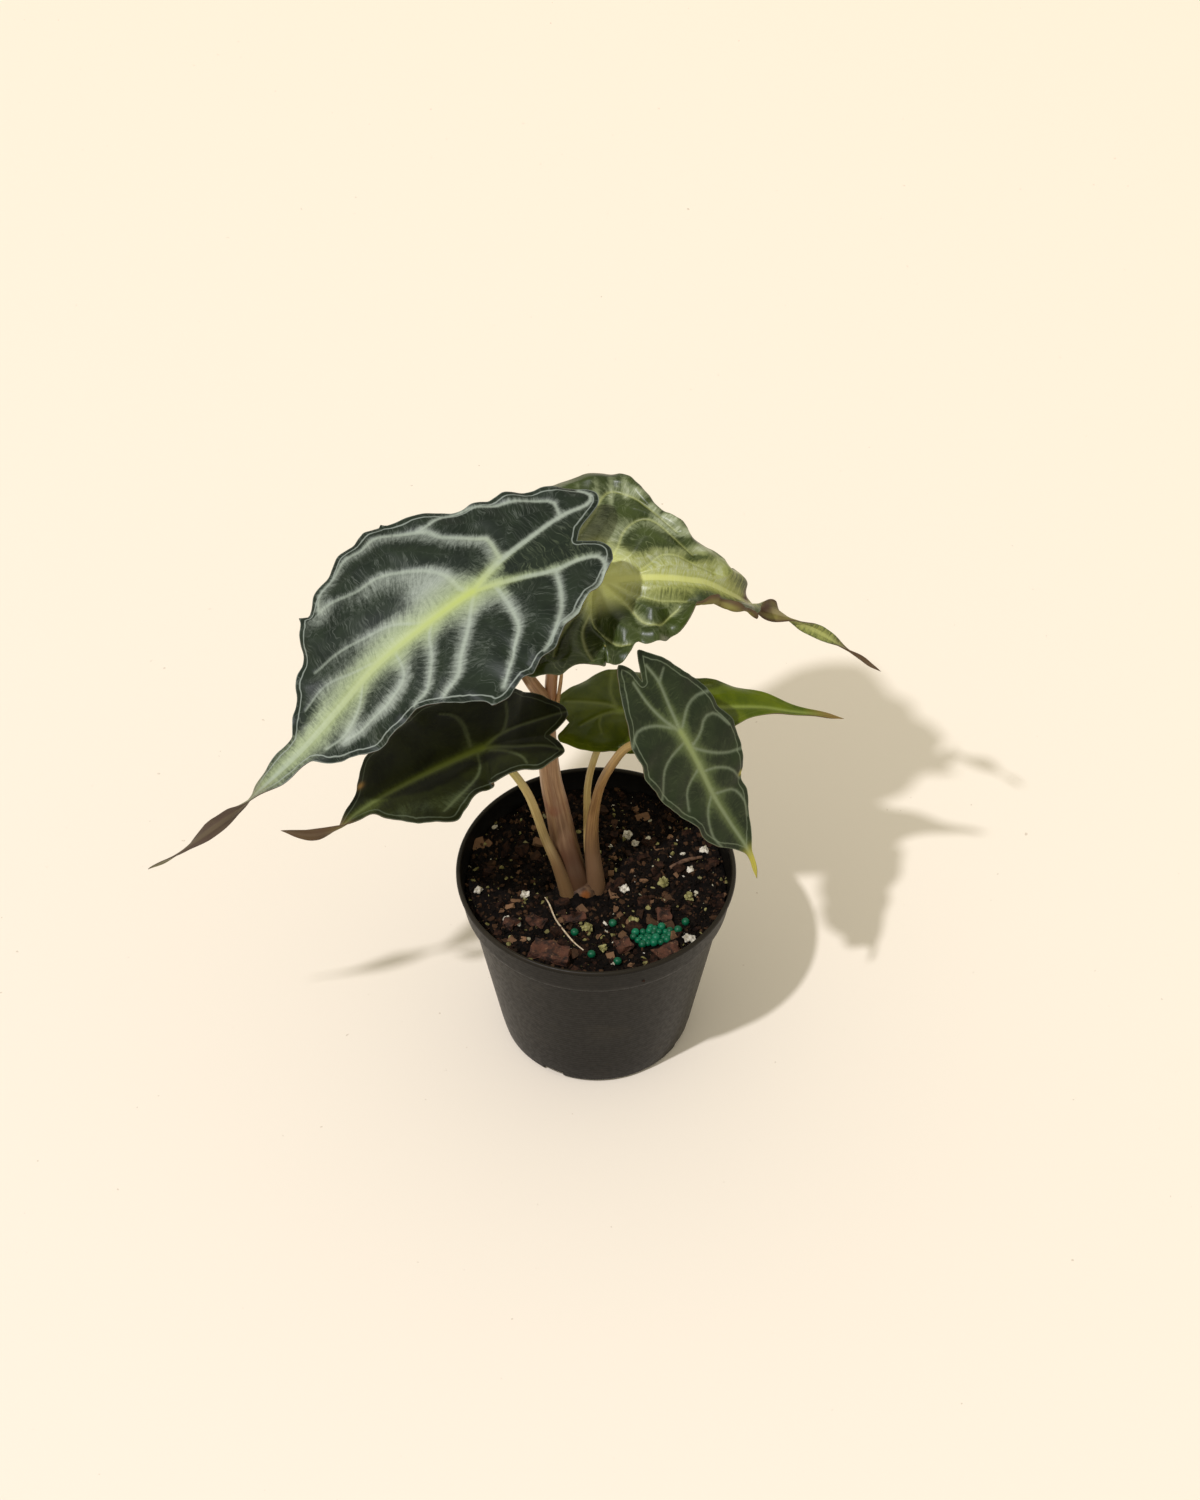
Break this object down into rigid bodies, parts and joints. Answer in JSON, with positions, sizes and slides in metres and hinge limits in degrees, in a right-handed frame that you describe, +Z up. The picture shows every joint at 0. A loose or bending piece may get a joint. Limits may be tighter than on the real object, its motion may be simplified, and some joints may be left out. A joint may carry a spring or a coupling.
{
  "type": "potted alocasia plant",
  "caption": "Small potted alocasia with arrow-shaped, silver-veined dark leaves with long twisted tips, in a round black nursery pot with bark and peat soil.",
  "frame": {"origin": "middle of the pot's flat bottom face", "axes": "+Z up; the viewer of the picture stands at -Y; the large leaf points to -X, the puckered leaf to +X"},
  "size_m": [0.2834, 0.1242, 0.2617],
  "materials": {
    "pot": "matt moulded black plastic",
    "soil": "loose bark and peat, stands in for soil",
    "crown": "fibrous stem skin",
    "trunk_stalk": "smooth plant skin, satin",
    "pale_stalk": "smooth plant skin, satin",
    "brown_stalk": "smooth plant skin, satin",
    "dark_blade": "leaf, dark green with silver veins",
    "bright_blade": "leaf, yellow-green with silver",
    "olive_blade": "leaf, olive green",
    "bark": "rough reddish bark",
    "perlite": "porous white grains",
    "prill": "coated green fertiliser beads",
    "fibre": "dry root fibre"
  },
  "bodies": {
    "root": {"pot": "pot", "soil": "soil", "crown": "crown", "petiole_a": "trunk_stalk", "petiole_b": "trunk_stalk", "petiole_c": "pale_stalk", "petiole_d": "pale_stalk", "petiole_e": "brown_stalk", "young_stem": "pale_stalk", "leaf_a": "dark_blade", "leaf_b": "bright_blade", "leaf_c": "dark_blade", "leaf_d": "olive_blade", "leaf_e": "dark_blade", "bark_chip_1": "bark", "bark_chip_2": "bark", "bark_chip_3": "bark", "bark_chip_4": "bark", "bark_chip_5": "bark", "bark_chip_6": "bark", "bark_chip_7": "bark", "perlite_1": "perlite", "perlite_2": "perlite", "perlite_3": "perlite", "perlite_4": "perlite", "perlite_5": "perlite", "perlite_6": "perlite", "perlite_7": "perlite", "perlite_8": "perlite", "perlite_9": "perlite", "perlite_10": "perlite", "perlite_11": "perlite", "perlite_12": "perlite", "perlite_13": "perlite", "prill_1": "prill", "prill_2": "prill", "prill_3": "prill", "prill_4": "prill", "prill_5": "prill", "prill_6": "prill", "prill_heap": "prill", "twig": "bark", "root_fibre": "fibre"}
  },
  "joints": []
}
